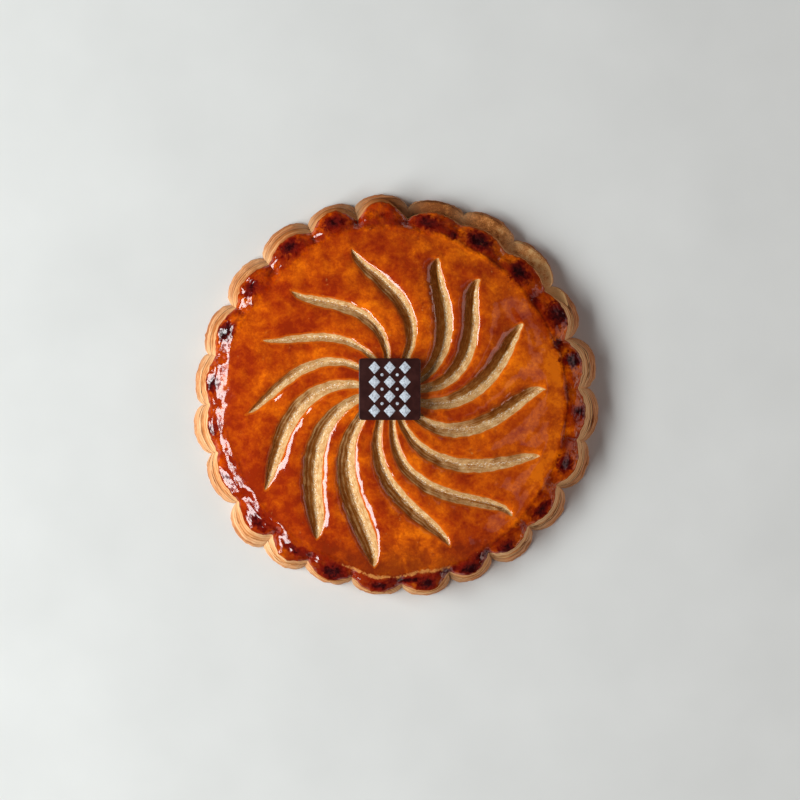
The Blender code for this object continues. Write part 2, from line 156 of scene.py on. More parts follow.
def scallop_at(angle):
    """The scallop at an angle, with the place across it: -1 and 1 are its two notches."""
    first_notch = PEAKS[0] - TURN_BEFORE[0]
    notches = (PEAKS[:-1] + TURN_AFTER[:-1] - first_notch) % 360.0
    index = np.searchsorted(notches, (angle - first_notch) % 360.0, side="right")
    offset = turn_between(PEAKS[index], angle)
    return index, offset / np.where(offset >= 0.0, TURN_AFTER[index], TURN_BEFORE[index])


def scallop_edge(angle, peaks, notches, arch):
    """The radius of a scalloped outline, from its reach at the peaks and at the notches."""
    index, across = scallop_at(angle)
    notch = notches[index - (across < 0.0)]
    fullness, shoulder = arch
    share = (1.0 - np.minimum(1.0, np.abs(across)) ** fullness) ** shoulder
    return notch + (peaks[index] - notch) * share


def between_peaks(angle, peaks):
    """A distance known at the peaks, passing over smoothly from each to the next."""
    index, across = scallop_at(angle)
    neighbour = peaks[(index + np.where(across >= 0.0, 1, -1)) % len(SCALLOPS)]
    return peaks[index] + (neighbour - peaks[index]) * smooth(0.0, 2.0, np.abs(across))


def foot_radius(angle):
    """The outline of the bottom sheet."""
    return scallop_edge(angle, FEET, NOTCH_FEET, FOOT_ARCH)


def edge_radius(angle):
    """The glazed edge of the top sheet."""
    return scallop_edge(angle, EDGES, NOTCH_EDGES, EDGE_ARCH)


def bareness(angle):
    """One where the top sheet has drawn back and the bottom sheet lies bare, else zero."""
    angle = angle % 360.0
    begun = smooth(BARE_FROM - BARE_BLEND, BARE_FROM, angle)
    return begun - smooth(BARE_TO, BARE_TO + BARE_BLEND, angle)


def side_radius(angle, covered_share, bare_share):
    """A place on the side, at a share of the way from the glazed edge to the foot."""
    edge = edge_radius(angle)
    share = covered_share + (bare_share - covered_share) * bareness(angle)
    return edge + share * (foot_radius(angle) - edge)


def notched(angle):
    """One in the notches of the rim, fading to zero on its scallops."""
    _, across = scallop_at(angle)
    return np.abs(across) ** 3


def rim_columns():
    """The angle of every column of points at the rim, closest together in the notches."""
    index, step = np.divmod(np.arange(COLUMNS), COLUMNS_PER_SCALLOP)
    across = np.sin(0.5 * math.pi * (2.0 * step / COLUMNS_PER_SCALLOP - 1.0))
    return PEAKS[index] + across * np.where(across >= 0.0, TURN_AFTER[index], TURN_BEFORE[index])


RIM_ANGLES = rim_columns()


def uneven(angle, seed, fewest, most, count=20):
    """An uneven line round the pastry, about -1 to 1, of fewest to most swells in a turn."""
    draw = np.random.default_rng(seed)
    swells = draw.integers(fewest, most + 1, count)
    starts = draw.uniform(0.0, 2.0 * math.pi, count)
    turn = np.radians(angle)[..., None]
    return np.sin(turn * swells + starts).sum(axis=-1) / math.sqrt(count)


def rumple(x, y, size, seed, count=28):
    """An uneven surface, about -1 to 1, with lumps and hollows of about one size."""
    draw = np.random.default_rng(seed)
    total = np.zeros_like(x)
    for _ in range(count):
        direction = draw.uniform(0.0, 2.0 * math.pi)
        pace = math.pi / (size * draw.uniform(0.65, 1.5))
        start = draw.uniform(0.0, 2.0 * math.pi)
        total += np.sin(pace * (x * math.cos(direction) + y * math.sin(direction)) + start)
    return total / math.sqrt(count)


def mesh_from(form, name):
    """The mesh of a finished bmesh."""
    mesh = bpy.data.meshes.new(name)
    form.to_mesh(mesh)
    form.free()
    return mesh


def turned_disc(name, rings):
    """The mesh of a disc turned from a cut through it, whose points wait for their places.

    Rings are counted from the middle of the top, out, down the side and back to the middle of
    the underside. Returns the mesh and each point's ring and column.
    """
    form = bmesh.new()
    profile = []
    for ring in range(rings):
        radius = 0.0 if ring in (0, rings - 1) else 1.0
        profile.append(form.verts.new((radius, 0.0, -ring * RING_TAG)))
    edges = [form.edges.new(pair) for pair in zip(profile, profile[1:])]
    bmesh.ops.spin(
        form, geom=profile + edges, cent=(0.0, 0.0, 0.0), axis=(0.0, 0.0, 1.0),
        angle=2.0 * math.pi, steps=COLUMNS, use_merge=True, use_duplicate=False)
    bmesh.ops.remove_doubles(form, verts=form.verts, dist=RING_TAG * 0.01)
    bmesh.ops.recalc_face_normals(form, faces=form.faces)
    mesh = mesh_from(form, name)
    corners = np.empty(3 * len(mesh.vertices))
    mesh.vertices.foreach_get("co", corners)
    x, y, z = corners.reshape(-1, 3).T
    ring = np.rint(-z / RING_TAG).astype(int)
    column = np.rint(np.arctan2(y, x) / (2.0 * math.pi) * COLUMNS).astype(int) % COLUMNS
    return mesh, ring, column


def layered_side(share, column, seed):
    """How far the torn layers of a side stand out, and how far their joints are bent up.

    Returns also one in the grooves between the layers and zero on them. The share runs from 0
    at the top of the side to 1 at its foot.
    """
    layer = np.minimum((share * LAYERS).astype(int), LAYERS - 1)
    across = share * LAYERS - layer
    swell = np.maximum(0.0, np.sin(math.pi * across)) ** LAYER_FULLNESS
    seeds = range(seed, seed + LAYERS)
    reach = np.array([uneven(RIM_ANGLES, each, *LAYER_SWELLS) for each in seeds])
    tilt = np.array([uneven(RIM_ANGLES, each + JOINT_SEED, *JOINT_SWELLS) for each in seeds])
    out = LAYER_REACH * (reach[layer, column] - LAYER_SET_BACK) * swell
    out -= LAYER_GROOVE * (1.0 - swell)
    up = LAYER_TILT * tilt[layer, column] * np.sin(math.pi * share)
    return out, up, 1.0 - swell


class Value:
    """A value on a surface. Sums written with it add Math nodes to its finish."""

    def __init__(self, finish, socket):
        self.finish = finish
        self.socket = socket

    def __add__(self, other):
        return self.finish.maths("ADD", self, other)

    def __sub__(self, other):
        return self.finish.maths("SUBTRACT", self, other)

    def __rsub__(self, other):
        return self.finish.maths("SUBTRACT", other, self)

    def __mul__(self, other):
        return self.finish.maths("MULTIPLY", self, other)

    def __truediv__(self, other):
        return self.finish.maths("DIVIDE", self, other)

    __radd__ = __add__
    __rmul__ = __mul__


def tint(red, green, blue):
    """A colour from its display values, 0 to 255."""
    linear = []
    for display in (red, green, blue):
        share = display / 255.0
        linear.append(share / 12.92 if share <= 0.04045 else ((share + 0.055) / 1.055) ** 2.4)
    return (*linear, 1.0)


class Finish:
    """A material in the making: its shader, and the methods that add nodes to it."""

    def __init__(self, name, constants):
        self.material = bpy.data.materials.new(name)
        self.material.use_nodes = True
        self.tree = self.material.node_tree
        self.shader = self.tree.nodes["Principled BSDF"]
        for socket, value in constants.items():
            self.shader.inputs[socket].default_value = value

    def node(self, kind, settings, sockets, output=0):
        """Adds any node: its settings first, then the values or links of its sockets."""
        node = self.tree.nodes.new(kind)
        for name, setting in settings.items():
            setattr(node, name, setting)
        for socket, value in sockets.items():
            self.feed(node.inputs[socket], value)
        return Value(self, node.outputs[output])

    def feed(self, socket, value):
        """Links a value to a socket, or sets the socket."""
        if isinstance(value, Value):
            self.tree.links.new(value.socket, socket)
        else:
            socket.default_value = value

    def maths(self, operation, *values):
        """Works out one value from others."""
        return self.node("ShaderNodeMath", {"operation": operation}, dict(enumerate(values)))

    def above(self, value, low, high):
        """Zero where a value is below low, one where it is above high, soft between."""
        sockets = {"Value": value, "From Min": low, "From Max": high}
        return self.node("ShaderNodeMapRange", {"interpolation_type": "SMOOTHSTEP"}, sockets)

    def mark(self, name, output=2):
        """A mark that the mesh carries."""
        return self.node("ShaderNodeAttribute", {"attribute_name": name}, {}, output)

    def place(self):
        """The place on the piece, in metres."""
        return self.node("ShaderNodeTexCoord", {}, {}, output=3)

    def parts(self, vector):
        """The three lengths of a vector, each a value."""
        return [self.node("ShaderNodeSeparateXYZ", {}, {0: vector}, output) for output in range(3)]

    def vector(self, *lengths):
        """A vector from three lengths."""
        return self.node("ShaderNodeCombineXYZ", {}, dict(enumerate(lengths)))

    def grain(self, place, size, detail=2.0, roughness=0.5, distortion=0.0):
        """Cloudy noise from 0 to 1 with grains of one size."""
        sockets = {
            "Vector": place, "Scale": 1.0 / size, "Detail": detail, "Roughness": roughness,
            "Distortion": distortion}
        return self.node("ShaderNodeTexNoise", {}, sockets)

    def ramp(self, value, tones):
        """A colour from a value, by a table of values and their display colours."""
        colour = self.node("ShaderNodeValToRGB", {}, {0: value})
        stops = colour.socket.node.color_ramp.elements
        while len(stops) < len(tones):
            stops.new(1.0)
        for stop, (place, *display) in zip(stops, tones):
            stop.position = place
            stop.color = tint(*display)
        return colour

    def blend(self, share, first, second):
        """Lays a share of the second colour over the first."""
        sockets = {0: share, 6: first, 7: second}
        return self.node("ShaderNodeMix", {"data_type": "RGBA"}, sockets, output=2)

    def coat(self, colour, roughness):
        """Gives the surface its colour and its roughness."""
        self.feed(self.shader.inputs["Base Color"], colour)
        self.feed(self.shader.inputs["Roughness"], roughness)

    def relief(self, height, depth):
        """Presses a height pattern into the surface."""
        sockets = {"Height": height, "Strength": 1.0, "Distance": depth}
        self.feed(self.shader.inputs["Normal"], self.node("ShaderNodeBump", {}, sockets))


# The thin lines and the wide bands of the layers. Their widths are in millimetres down the side.
LINE_WIDTH = 0.42
LINE_LENGTH = 24.0 * MM
BAND_WIDTH = 1.3
BAND_LENGTH = 40.0 * MM
FLAKE_SIZE = 4.0 * MM

CREAM = tint(232, 186, 136)
LAYER_TONES = (
    (0.36, 176, 106, 58), (0.43, 204, 138, 86), (0.50, 220, 156, 104), (0.58, 232, 186, 136))
# Brown for the grooves between layers, partly painted shade.
JOINT_BROWN_AND_SHADE = tint(198, 106, 48)
# Brown for the seam between the sheets, partly painted shade.
SEAM_BROWN_AND_SHADE = tint(116, 54, 34)


def layer_colour(finish, place, right_tone_and_painted_light):
    """The colour of torn layers, with its thin lines: cream in the notches, brown in the joints.

    The brown in the joints is partly painted shade in the grooves. On the right of the pastry the
    layers change by a share, lighter on the top side, which is partly painted light; where the
    sheets meet there, the seam is browned, partly with painted shade.
    """
    x, y, _ = finish.parts(place)
    down = finish.mark("down")
    along = finish.vector(x / LINE_LENGTH, y / LINE_LENGTH, down / LINE_WIDTH)
    lines = finish.grain(along, 1.0, detail=3.0, roughness=0.6)
    wide = finish.vector(x / BAND_LENGTH, y / BAND_LENGTH, down / BAND_WIDTH)
    bands = finish.grain(wide, 1.0, detail=1.0)
    patches = finish.grain(place, FLAKE_SIZE, detail=3.0, roughness=0.6)
    tone = bands * 0.38 + lines * 0.32 + patches * 0.30 - y * 0.50 - y * y * 10.0
    # On the right, shifted by a share, which on the top side is partly painted light where the
    # window light is dim; more brown towards the foot.
    tone += finish.above(x, 0.02, 0.07) * right_tone_and_painted_light - finish.above(down, 2.4, 4.8) * 0.08
    # Brown in the grooves between layers: partly the pastry's darker joins, partly painted shade
    # in the grooves.
    joint_and_groove_shade = finish.above(finish.mark("groove") + (patches - 0.5) * 0.8, 0.30, 0.75)
    colour = finish.blend(joint_and_groove_shade * 0.75, finish.ramp(tone, LAYER_TONES), JOINT_BROWN_AND_SHADE)
    notch = finish.mark("notch")
    # On the right, brown where the two sheets meet: partly a browned layer, partly painted shade
    # in the gap between them.
    seam = finish.mark("seam") * finish.above(x, 0.04, 0.07)
    seam = finish.above(seam - notch * 0.6 + (patches - 0.5) * 0.6, 0.15, 0.6)
    colour = finish.blend(seam * 0.85, colour, SEAM_BROWN_AND_SHADE)
    return finish.blend(notch * 0.6, colour, CREAM), lines


def piece_of(mesh, finish):
    """A finished piece whose points are in their places."""
    mesh.materials.append(finish.material)
    mesh.shade_smooth()
    piece = bpy.data.objects.new(mesh.name, mesh)
    bpy.context.scene.collection.objects.link(piece)
    return piece


def baked_piece(mesh, places, marks, finish):
    """A finished piece: its points are moved to their places and carry the finish's marks."""
    x, y, height = places
    corners = np.stack((x + SHIFT[0], y + SHIFT[1], height), axis=1)
    mesh.vertices.foreach_set("co", corners.ravel())
    for name, values in marks.items():
        if values.ndim == 1:
            mesh.attributes.new(name, "FLOAT", "POINT").data.foreach_set("value", values)
        else:
            layer = mesh.attributes.new(name, "FLOAT_VECTOR", "POINT")
            layer.data.foreach_set("vector", values.ravel())
    mesh.update()
    return piece_of(mesh, finish)


# The plaque lies over the middle of the swirl. Its solid tells where that is in the frame.
HUB = np.array((-3.6, 3.3)) * MM
plaque_low, plaque_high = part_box("chocolate_plaque")
SHIFT = 0.5 * np.array((plaque_low + plaque_high)[:2]) - HUB


def make_bottom_sheet():
    """The mesh of the bottom sheet, with its face, its layered side and its flat underside."""
    last_side = FACE_RINGS + SIDE_RINGS
    mesh, ring, column = turned_disc("puff_bottom_sheet", last_side + 3)
    angle = RIM_ANGLES[column]
    ragged = uneven(RIM_ANGLES, 5, *OUTLINE_SWELLS)[column] - OUTLINE_SET_BACK
    foot = foot_radius(angle) + OUTLINE_RAGGED * ragged
    shoulder = side_radius(angle, SEAM_SHARE, BARE_SHOULDER_SHARE)
    face_share = np.clip((ring - 1) / (FACE_RINGS - 1), 0.0, 1.0)
    side_share = np.clip((ring - FACE_RINGS) / SIDE_RINGS, 0.0, 1.0)
    out, up, groove = layered_side(side_share, column, 300)
    on_side = (ring > FACE_RINGS) & (ring <= last_side)
    radius = shoulder * (FACE_FROM + (1.0 - FACE_FROM) * face_share)
    radius = np.where(on_side, shoulder + (foot - shoulder) * side_share + out, radius)
    radius = np.where(ring > last_side, foot - FOOT_SET_BACK, radius)
    radius = np.where((ring == 0) | (ring == last_side + 2), 0.0, radius)
    x, y = point_at(angle, radius)
    wrinkles = FACE_WRINKLE * (rumple(x, y, WRINKLE_SIZE, 11) - WRINKLE_SET_BACK)
    height = SHEET_TOP + smooth(0.3, 0.6, face_share) * wrinkles
    height -= FACE_DROP * smooth(0.9, 1.0, face_share)
    side_top = SHEET_TOP - FACE_DROP
    height = np.where(on_side, side_top + (FOOT_HEIGHT - side_top) * side_share + up, height)
    height = np.where(ring > last_side, 0.0, height)
    height = np.where(ring == 0, SHEET_TOP, height)
    marks = {
        "down": side_share * (SHEET_TOP - FOOT_HEIGHT) / MM,
        "groove": np.where(on_side, groove, 0.0),
        "notch": notched(angle),
        "face": 1.0 - smooth(0.0, 0.12, side_share),
        "seam": np.where(on_side, 1.0 - smooth(0.0, 0.35, side_share), 0.0),
    }
    return mesh, (x, y, height), marks


WRINKLED_PATCH_SIZE = 3.0 * MM
CRUMB_SIZE = 0.45 * MM
DRY_RELIEF = 0.35 * MM
# Tones of the bare face, lighter than its own tan as painted light in the top sheet's cast shadow.
FACE_TONES_WITH_PAINTED_LIGHT = (
    (0.38, 146, 80, 30), (0.47, 196, 118, 54), (0.55, 234, 156, 84), (0.64, 255, 204, 136))


def dry_pastry():
    """Dry baked puff pastry: a tan, wrinkled face and layers in cream, peach and brown."""
    finish = Finish("dry_pastry", {"Specular IOR Level": 0.3})
    place = finish.place()
    colour, lines = layer_colour(finish, place, -0.02)
    x, y, _ = finish.parts(place)
    patches = finish.grain(place, WRINKLED_PATCH_SIZE, detail=4.0, roughness=0.65)
    crumbs = finish.grain(place, CRUMB_SIZE)
    # Painted light on the face: lighter towards the right, where the top sheet casts its shadow;
    # darker towards the top.
    tone = patches * 0.60 + crumbs * 0.40 + x * 3.2 - y * 2.2 + 0.02
    face = finish.blend(finish.mark("notch") * 0.45, finish.ramp(tone, FACE_TONES_WITH_PAINTED_LIGHT), CREAM)
    finish.coat(finish.blend(finish.mark("face"), colour, face), crumbs * 0.25 + 0.55)
    finish.relief(lines * 0.7 + patches * 0.6 + crumbs * 0.3, DRY_RELIEF)
    return finish


bottom_sheet = baked_piece(*make_bottom_sheet(), dry_pastry())
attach(bottom_sheet, "root")
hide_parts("bottom_sheet")

# ---- Top pastry ----
# The upper sheet over the almond filling, pressed down all round and dented by fingertips at
# the rim. It was glazed with egg, scored with a knife in fourteen curves that opened in the
# oven, and browned until the dents burnt. Its side is torn layers like that of the sheet below.

GAP = 0.3 * MM
CREASE_HEIGHT = 17.2 * MM
DOME_TOP = 30.0 * MM
CREASE_WOBBLE = 0.4 * MM
CREASE_DEPTH = 0.1 * MM
CREASE_DEEPEST_AT = 10.0
CREASE_WIDTH = 1.6 * MM
CREASE_BLEND = 2.5 * MM
DOME_ROUNDNESS = 2.1

# The pillows of the rim: a steady slope, a flatter brim and a rolled edge. Places are shares
# of the way from the crease to the glazed edge, or across one pillow.
RIM_STEEPNESS = 4.8 * MM
RIM_START = 0.40
STEEP_FROM = 0.45
FLATTER_FROM = 0.66
FLATTER_BY = 0.80
FLATNESS = 0.40
RIM_ROLL = 0.8 * MM
ROLL_TIGHTNESS = 7
VALLEY_SHARE = 0.6
VALLEY_SHAPE = 2.6
DENT_DEPTH = 0.55 * MM
DENT_PLACE = 0.45
DENT_REACH = 0.30
DENT_WIDTH = 0.34

# Every cut: the angle of its tip about the hub, its reach in millimetres, how far it has turned
# back at three quarters, a half and a quarter of that reach, half its greatest width, and how
# blunt its tip is on the clockwise and on the anticlockwise side.
CUTS = np.array((
    (0, 77, 11, 31, 45, 4.1, 2.2, 5),
    (26, 73, 13, 31, 48, 4.3, 2, 6),
    (50.5, 70, 11, 33, 49, 4.1, 1.8, 7),
    (69.5, 69, 9, 28, 48, 4.3, 1.8, 7),
    (105, 72, 10, 30, 42, 3.5, 2.4, 2.4),
    (135, 69, 10, 29, 40, 2.9, 2.4, 2.4),
    (159, 67, 9, 25, 41, 2.2, 2.4, 2.4),
    (190, 72, 12, 31, 45, 2.6, 2.4, 2.4),
    (219, 79, 14, 33, 46, 4, 2.4, 2.4),
    (244, 82, 12, 30, 45, 4.8, 5, 4),
    (265, 88, 8, 24, 39, 5, 5, 3),
    (291, 83, 9, 25, 37, 3.6, 3, 3),
    (314, 87, 10, 29, 40, 3.3, 2.2, 5),
    (336, 81, 14, 32, 45, 3.5, 2.6, 6),
))
TIPS = CUTS[:, 0]
REACHES = CUTS[:, 1] * MM
HALF_WIDTHS = CUTS[:, 5] * MM
TIP_ROUNDNESS = CUTS[:, 6:8]
STATIONS = (1.0, 0.75, 0.5, 0.25)
CURVES = np.array([np.polyfit(STATIONS, (0.0, *cut[2:5]), 3) for cut in CUTS])
CUT_START = 11.0 * MM
CUT_FULL_DEPTH_FROM = 17.6 * MM
CUT_NARROWEST = 0.45
CUT_WIDENS_FROM = 0.1
CUT_WIDEST = 0.62
TIP_POINT = 0.8
CUT_STEEPNESS = 0.78
CUT_BOTTOM_ASIDE = 0.22
WALL_STEPS = 3.0
WALL_STEP_DEPTH = 0.02
SAG_DEPTH = 1.1 * MM
SAG_REACH = 4.5 * MM
SAG_END = 27.0 * MM
SAG_FULL_FROM = 60.0 * MM
LIP_ROLL = 1.05 * MM
LIP_ROLL_REACH = 2.1 * MM
LIP_WOBBLE = 0.16 * MM
LIP_WOBBLE_SIZE = 3.5 * MM
THINNEST_CUT = 0.01 * MM
CUTS_APART = 37.0
FARTHEST_INSIDE = -20.0 * MM
WAVE_HEIGHT = 0.20 * MM
WAVE_SIZE = 18.0 * MM
FLAT_MIDDLE = 17.6 * MM
FLAT_BLEND_END = 26.4 * MM

DOME_RINGS = 112
DOME_FROM = 0.12
EDGE_RINGS = 24
COLUMNS_TO_LIP = 8
NARROWEST_COLUMN = 0.6
COLUMNS_TURN_FROM = 0.86


def bend(low, high, value):
    """Level below low, a slope of one above high and a soft bend between."""
    share = np.clip((value - low) / (high - low), 0.0, 1.0)
    return (high - low) * share ** 3 * (1.0 - 0.5 * share) + np.maximum(0.0, value - high)


def nearness(distance, width):
    """One at no distance, fading out over a width to both sides."""
    return np.exp(-(distance / width) ** 2)


def crease_radius(angle):
    """The crease between dome and rim."""
    return between_peaks(angle, CREASES) + CREASE_WOBBLE * uneven(angle, 12, 9, 34, count=8)


def crease_depth(angle):
    """How deep the crease is: deepest on the right, and gone on the left."""
    return CREASE_DEPTH * (0.5 + 0.5 * np.cos(np.radians(angle - CREASE_DEEPEST_AT)))


def valley_depth(angle, beyond_crease):
    """How far the pastry falls towards the notches, at a distance beyond the crease."""
    index, across = scallop_at(angle)
    notch = between_peaks(angle, EDGES) - NOTCH_EDGES[index - (across < 0.0)]
    begun = smooth(-CREASE_BLEND, CREASE_BLEND, beyond_crease)
    return VALLEY_SHARE * notch * np.abs(across) ** VALLEY_SHAPE * begun


def cut_line(cut, distance):
    """The angle of a cut's middle at a distance from the hub, and its slope there."""
    share = np.minimum(1.0, distance / REACHES[cut])
    third, second, first, still = CURVES[cut].T
    back = ((third * share + second) * share + first) * share + still
    slope = -((3.0 * third * share + 2.0 * second) * share + first)
    return TIPS[cut] - back, np.radians(slope) * share


def cut_half_width(cut, distance, side):
    """Half the width of a cut on its clockwise (0) or anticlockwise (1) side."""
    share = distance / REACHES[cut]
    opening = CUT_NARROWEST + (1.0 - CUT_NARROWEST) * smooth(CUT_WIDENS_FROM, CUT_WIDEST, share)
    towards_tip = np.clip((share - CUT_WIDEST) / (1.0 - CUT_WIDEST), 0.0, 1.0)
    closing = (1.0 - towards_tip ** TIP_ROUNDNESS[cut, side]) ** TIP_POINT
    return HALF_WIDTHS[cut] * np.where(share < CUT_WIDEST, opening, closing)


def waviness(x, y):
    """The slow uneven rise of the pastry."""
    return WAVE_HEIGHT * rumple(x, y, WAVE_SIZE, 14, count=6)


def dome_surface(x, y):
    """The height of the dome, how far points are inside a cut, and their places in it.

    Those places are across and along the cut in millimetres, a number for the cut and the share
    of the way down its wall.
    """
    turn, radius = bearing(x, y)
    crease = crease_radius(turn)
    height = DOME_TOP - (DOME_TOP - CREASE_HEIGHT) * (radius / crease) ** DOME_ROUNDNESS
    height -= crease_depth(turn) * nearness(radius - crease, CREASE_WIDTH)
    height -= valley_depth(turn, radius - crease)
    angle, distance = bearing(x - HUB[0], y - HUB[1])
    free = smooth(FLAT_MIDDLE, FLAT_BLEND_END, distance)
    opening = smooth(CUT_START, CUT_FULL_DEPTH_FROM, distance)
    sagging = smooth(FLAT_MIDDLE, SAG_FULL_FROM, distance)
    height += free * waviness(x, y)
    deepest = np.full_like(x, FARTHEST_INSIDE)
    place = np.zeros((len(x), 4))
    wobble = LIP_WOBBLE * rumple(x, y, LIP_WOBBLE_SIZE, 31)
    for cut in range(len(CUTS)):
        middle, slope = cut_line(cut, distance)
        across = np.radians(turn_between(middle, angle)) * distance / np.hypot(1.0, slope)
        aside = np.abs(across) + wobble * (distance < REACHES[cut])
        side = (across > 0.0).astype(int)
        half = np.maximum(cut_half_width(cut, distance, side), THINNEST_CUT)
        outside = np.maximum(0.0, aside - half)
        near = np.where(aside < SAG_END, half / HALF_WIDTHS[cut], 0.0)
        bottom = CUT_BOTTOM_ASIDE * np.sin(np.radians(angle)) * np.where(across > 0.0, -1.0, 1.0)
        share = aside / half
        inward = np.clip((1.0 - share) / (1.0 - bottom), 0.0, 1.0)
        inward = np.where(share < bottom, (1.0 + share) / (1.0 + bottom), inward)
        steps = np.sin(2.0 * math.pi * WALL_STEPS * inward) * smooth(0.0, 0.2, inward)
        fall = inward + WALL_STEP_DEPTH * steps
        height -= CUT_STEEPNESS * half * opening * fall * (near > 0.0)
        height -= SAG_DEPTH * near * sagging * np.exp(-outside / SAG_REACH)
        height -= LIP_ROLL * near * free * np.exp(-outside / LIP_ROLL_REACH)
        beyond = np.maximum(0.0, distance - REACHES[cut])
        inside = np.where(beyond > 0.0, -np.hypot(aside, beyond), half - aside)
        here = inside > deepest
        deepest = np.where(here, inside, deepest)
        number = np.full_like(x, CUTS_APART * cut)
        spot = np.stack((across / MM, distance / MM, number, inward), axis=1)
        place = np.where(here[:, None], spot, place)
    return height, deepest, place


# Each pillow of the rim rose a little more or less than its neighbours.
RIM_LIFT = 0.35 * MM
LIFTS = np.random.default_rng(23).uniform(-RIM_LIFT, RIM_LIFT, len(SCALLOPS))
LIFT_END = 0.7


def rim_height(angle, share):
    """The top of the rim: share runs from 0 at the crease to 1 at the glazed edge."""
    index, across = scallop_at(angle)
    crease = crease_radius(angle)
    outward = share * (edge_radius(angle) - crease)
    place = outward / (between_peaks(angle, EDGES) - crease)
    steep = RIM_START * place + (1.0 - RIM_START) * bend(0.0, STEEP_FROM, place)
    steep -= FLATNESS * bend(FLATTER_FROM, FLATTER_BY, place)
    height = CREASE_HEIGHT - RIM_STEEPNESS * steep - RIM_ROLL * share ** ROLL_TIGHTNESS
    height -= crease_depth(angle) * nearness(outward, CREASE_WIDTH)
    height -= valley_depth(angle, outward)
    height += LIFTS[index] * (1.0 - across ** 2) * smooth(0.0, LIFT_END, share)
    dent = nearness(share - DENT_PLACE, DENT_REACH) * nearness(across, DENT_WIDTH)
    return height - DENT_DEPTH * dent + waviness(*point_at(angle, crease))


# Where each column meets the crease, as seen from the hub, and the columns that meet it beyond
# the tips of the cuts.
crease_x, crease_y = point_at(RIM_ANGLES, crease_radius(RIM_ANGLES))
CREASE_ANGLES, CREASE_DISTANCES = bearing(crease_x - HUB[0], crease_y - HUB[1])
CUT_COLUMNS = np.array([np.argmin(np.abs(turn_between(CREASE_ANGLES, tip))) for tip in TIPS])


def lip_turn(cut, distance, slope, side, even):
    """The angle from a cut's middle to its lip, never much less than even columns have."""
    half = cut_half_width(cut, distance, side) * np.hypot(1.0, slope)
    return np.maximum(np.degrees(half / distance), NARROWEST_COLUMN * even)


def dome_column_angle(column, distance):
    """The angle about the hub of a column on the dome, where the columns follow the cuts."""
    steps_back = (column[:, None] - CUT_COLUMNS[None, :]) % COLUMNS
    cut = np.argmin(steps_back, axis=1)
    after = (cut + 1) % len(CUTS)
    steps = (CUT_COLUMNS[after] - CUT_COLUMNS[cut]) % COLUMNS
    step = (column - CUT_COLUMNS[cut]) % COLUMNS
    here, here_slope = cut_line(cut, distance)
    there, there_slope = cut_line(after, distance)
    gap = turn_between(here, there) % 360.0
    even = gap * COLUMNS_TO_LIP / steps
    lip_here = lip_turn(cut, distance, here_slope, 1, even)
    lip_there = lip_turn(after, distance, there_slope, 0, even)
    share = (step - COLUMNS_TO_LIP) / (steps - 2 * COLUMNS_TO_LIP)
    turn = lip_here + share * (gap - lip_here - lip_there)
    turn = np.where(step <= COLUMNS_TO_LIP, lip_here * step / COLUMNS_TO_LIP, turn)
    last = steps - step
    return here + np.where(last <= COLUMNS_TO_LIP, gap - lip_there * last / COLUMNS_TO_LIP, turn)


# The burnt dents: angle, where they begin and end from the middle in millimetres, half their
# width in degrees, and how dark they are.
BURNS = (
    (11.5, 84.5, 93, 2.8, 0.9), (18, 81.5, 85, 2, 0.7), (27, 85, 93.5, 4, 1),
    (34.5, 81.5, 84, 3, 0.6), (45.5, 82.5, 89, 4, 1), (62, 83.5, 90, 4.5, 1),
    (71, 83, 85, 2, 0.8), (80, 85, 89, 4.5, 0.9), (89, 84, 89, 1.2, 0.4),
    (95, 89, 91, 2.5, 0.35), (110, 89, 93, 4, 0.9), (126, 87.5, 93.5, 4, 0.9),
    (143.5, 87.5, 92, 3.5, 0.8), (159.5, 87.5, 93.5, 3.5, 1), (176, 89, 93.5, 3, 0.9),
    (190, 90, 95, 2.5, 0.7), (206, 92.5, 95, 3, 0.6), (222, 90, 95, 4, 0.75),
    (228.5, 88.5, 91, 4.5, 0.5), (236, 90, 92.5, 4, 0.8), (241, 88.5, 91, 4, 0.6),
    (250, 89, 96, 4, 1), (265, 93, 95.5, 4, 0.9), (274, 90.6, 91.4, 9, 0.8),
    (279, 91, 96, 3, 1), (286, 89.4, 90.4, 5, 0.7), (293, 90, 94.5, 3.5, 1),
    (298, 88.5, 89.8, 4, 0.8), (306, 90, 95, 3.5, 0.9), (313, 86, 87, 1.2, 0.5),
    (322, 89, 92.5, 3.5, 0.9), (338, 86.5, 92.5, 3, 0.85), (355, 88.5, 93, 2.4, 0.85),
)
BURN_SPREAD = 1.2 * MM
BURN_FADE = 0.8


def burnt(x, y):
    """How burnt the glaze is, from 0 to 1."""
    angle, radius = bearing(x, y)
    total = np.zeros_like(x)
    for middle, start, end, half_width, darkness in BURNS:
        across = turn_between(middle, angle) / half_width
        length = 0.5 * (end - start) * MM + BURN_SPREAD
        along = (radius - 0.5 * (start + end) * MM) / length
        total = np.maximum(total, darkness * np.exp(-BURN_FADE * (across ** 2 + along ** 2)))
    return total


